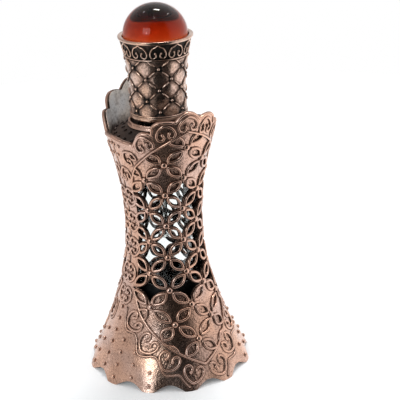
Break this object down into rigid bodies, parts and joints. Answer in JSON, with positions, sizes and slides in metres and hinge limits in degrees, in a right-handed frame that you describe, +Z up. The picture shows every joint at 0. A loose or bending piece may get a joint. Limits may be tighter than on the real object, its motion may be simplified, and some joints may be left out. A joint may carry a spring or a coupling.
{
  "type": "perfume oil bottle",
  "caption": "Perfume oil bottle: a glass vial in an hourglass openwork metal case with a scalloped collar, under a screw cap with a domed amber glass top and a dipping stick.",
  "frame": {"origin": "centre of the hem circle, on the plane that the feet stand on", "axes": "+Z up along the axis of the bottle, -Y out through the middle of the front panel"},
  "size_m": [0.0616, 0.0616, 0.14],
  "materials": {
    "aged_copper": "antique copper plate, dark in the recesses",
    "dull_pewter": "dull grey plate",
    "clear_glass": "clear, polished",
    "amber_glass": "amber red, polished",
    "black_plastic": "matte",
    "white_plastic": "matte",
    "grey_foam": "soft, matte",
    "black_felt": "felt"
  },
  "bodies": {
    "housing": {"front_case": "aged_copper", "back_case": "aged_copper", "shoulder_dish": "dull_pewter", "neck_ring": "aged_copper", "glass_vial": "clear_glass", "vial_pad": "black_felt", "vial_foot": "black_plastic", "base_felt": "black_felt"},
    "cap_carrier": {"sealing_washer": "grey_foam"},
    "cap": {"cap_shell": "aged_copper", "cap_insert": "white_plastic", "dipping_stick": "clear_glass", "stone_seat": "black_plastic", "amber_stone": "amber_glass"}
  },
  "joints": [
    {"name": "cap_lift", "type": "slide", "parent": "housing", "child": "cap_carrier", "axis": [0, 0, 1], "range_m": [0, 0.085]},
    {"name": "cap_turn", "type": "hinge", "parent": "cap_carrier", "child": "cap", "pos_m": [0, 0, 0.1], "axis": [0, 0, 1], "range_deg": [0, 540]}
  ]
}
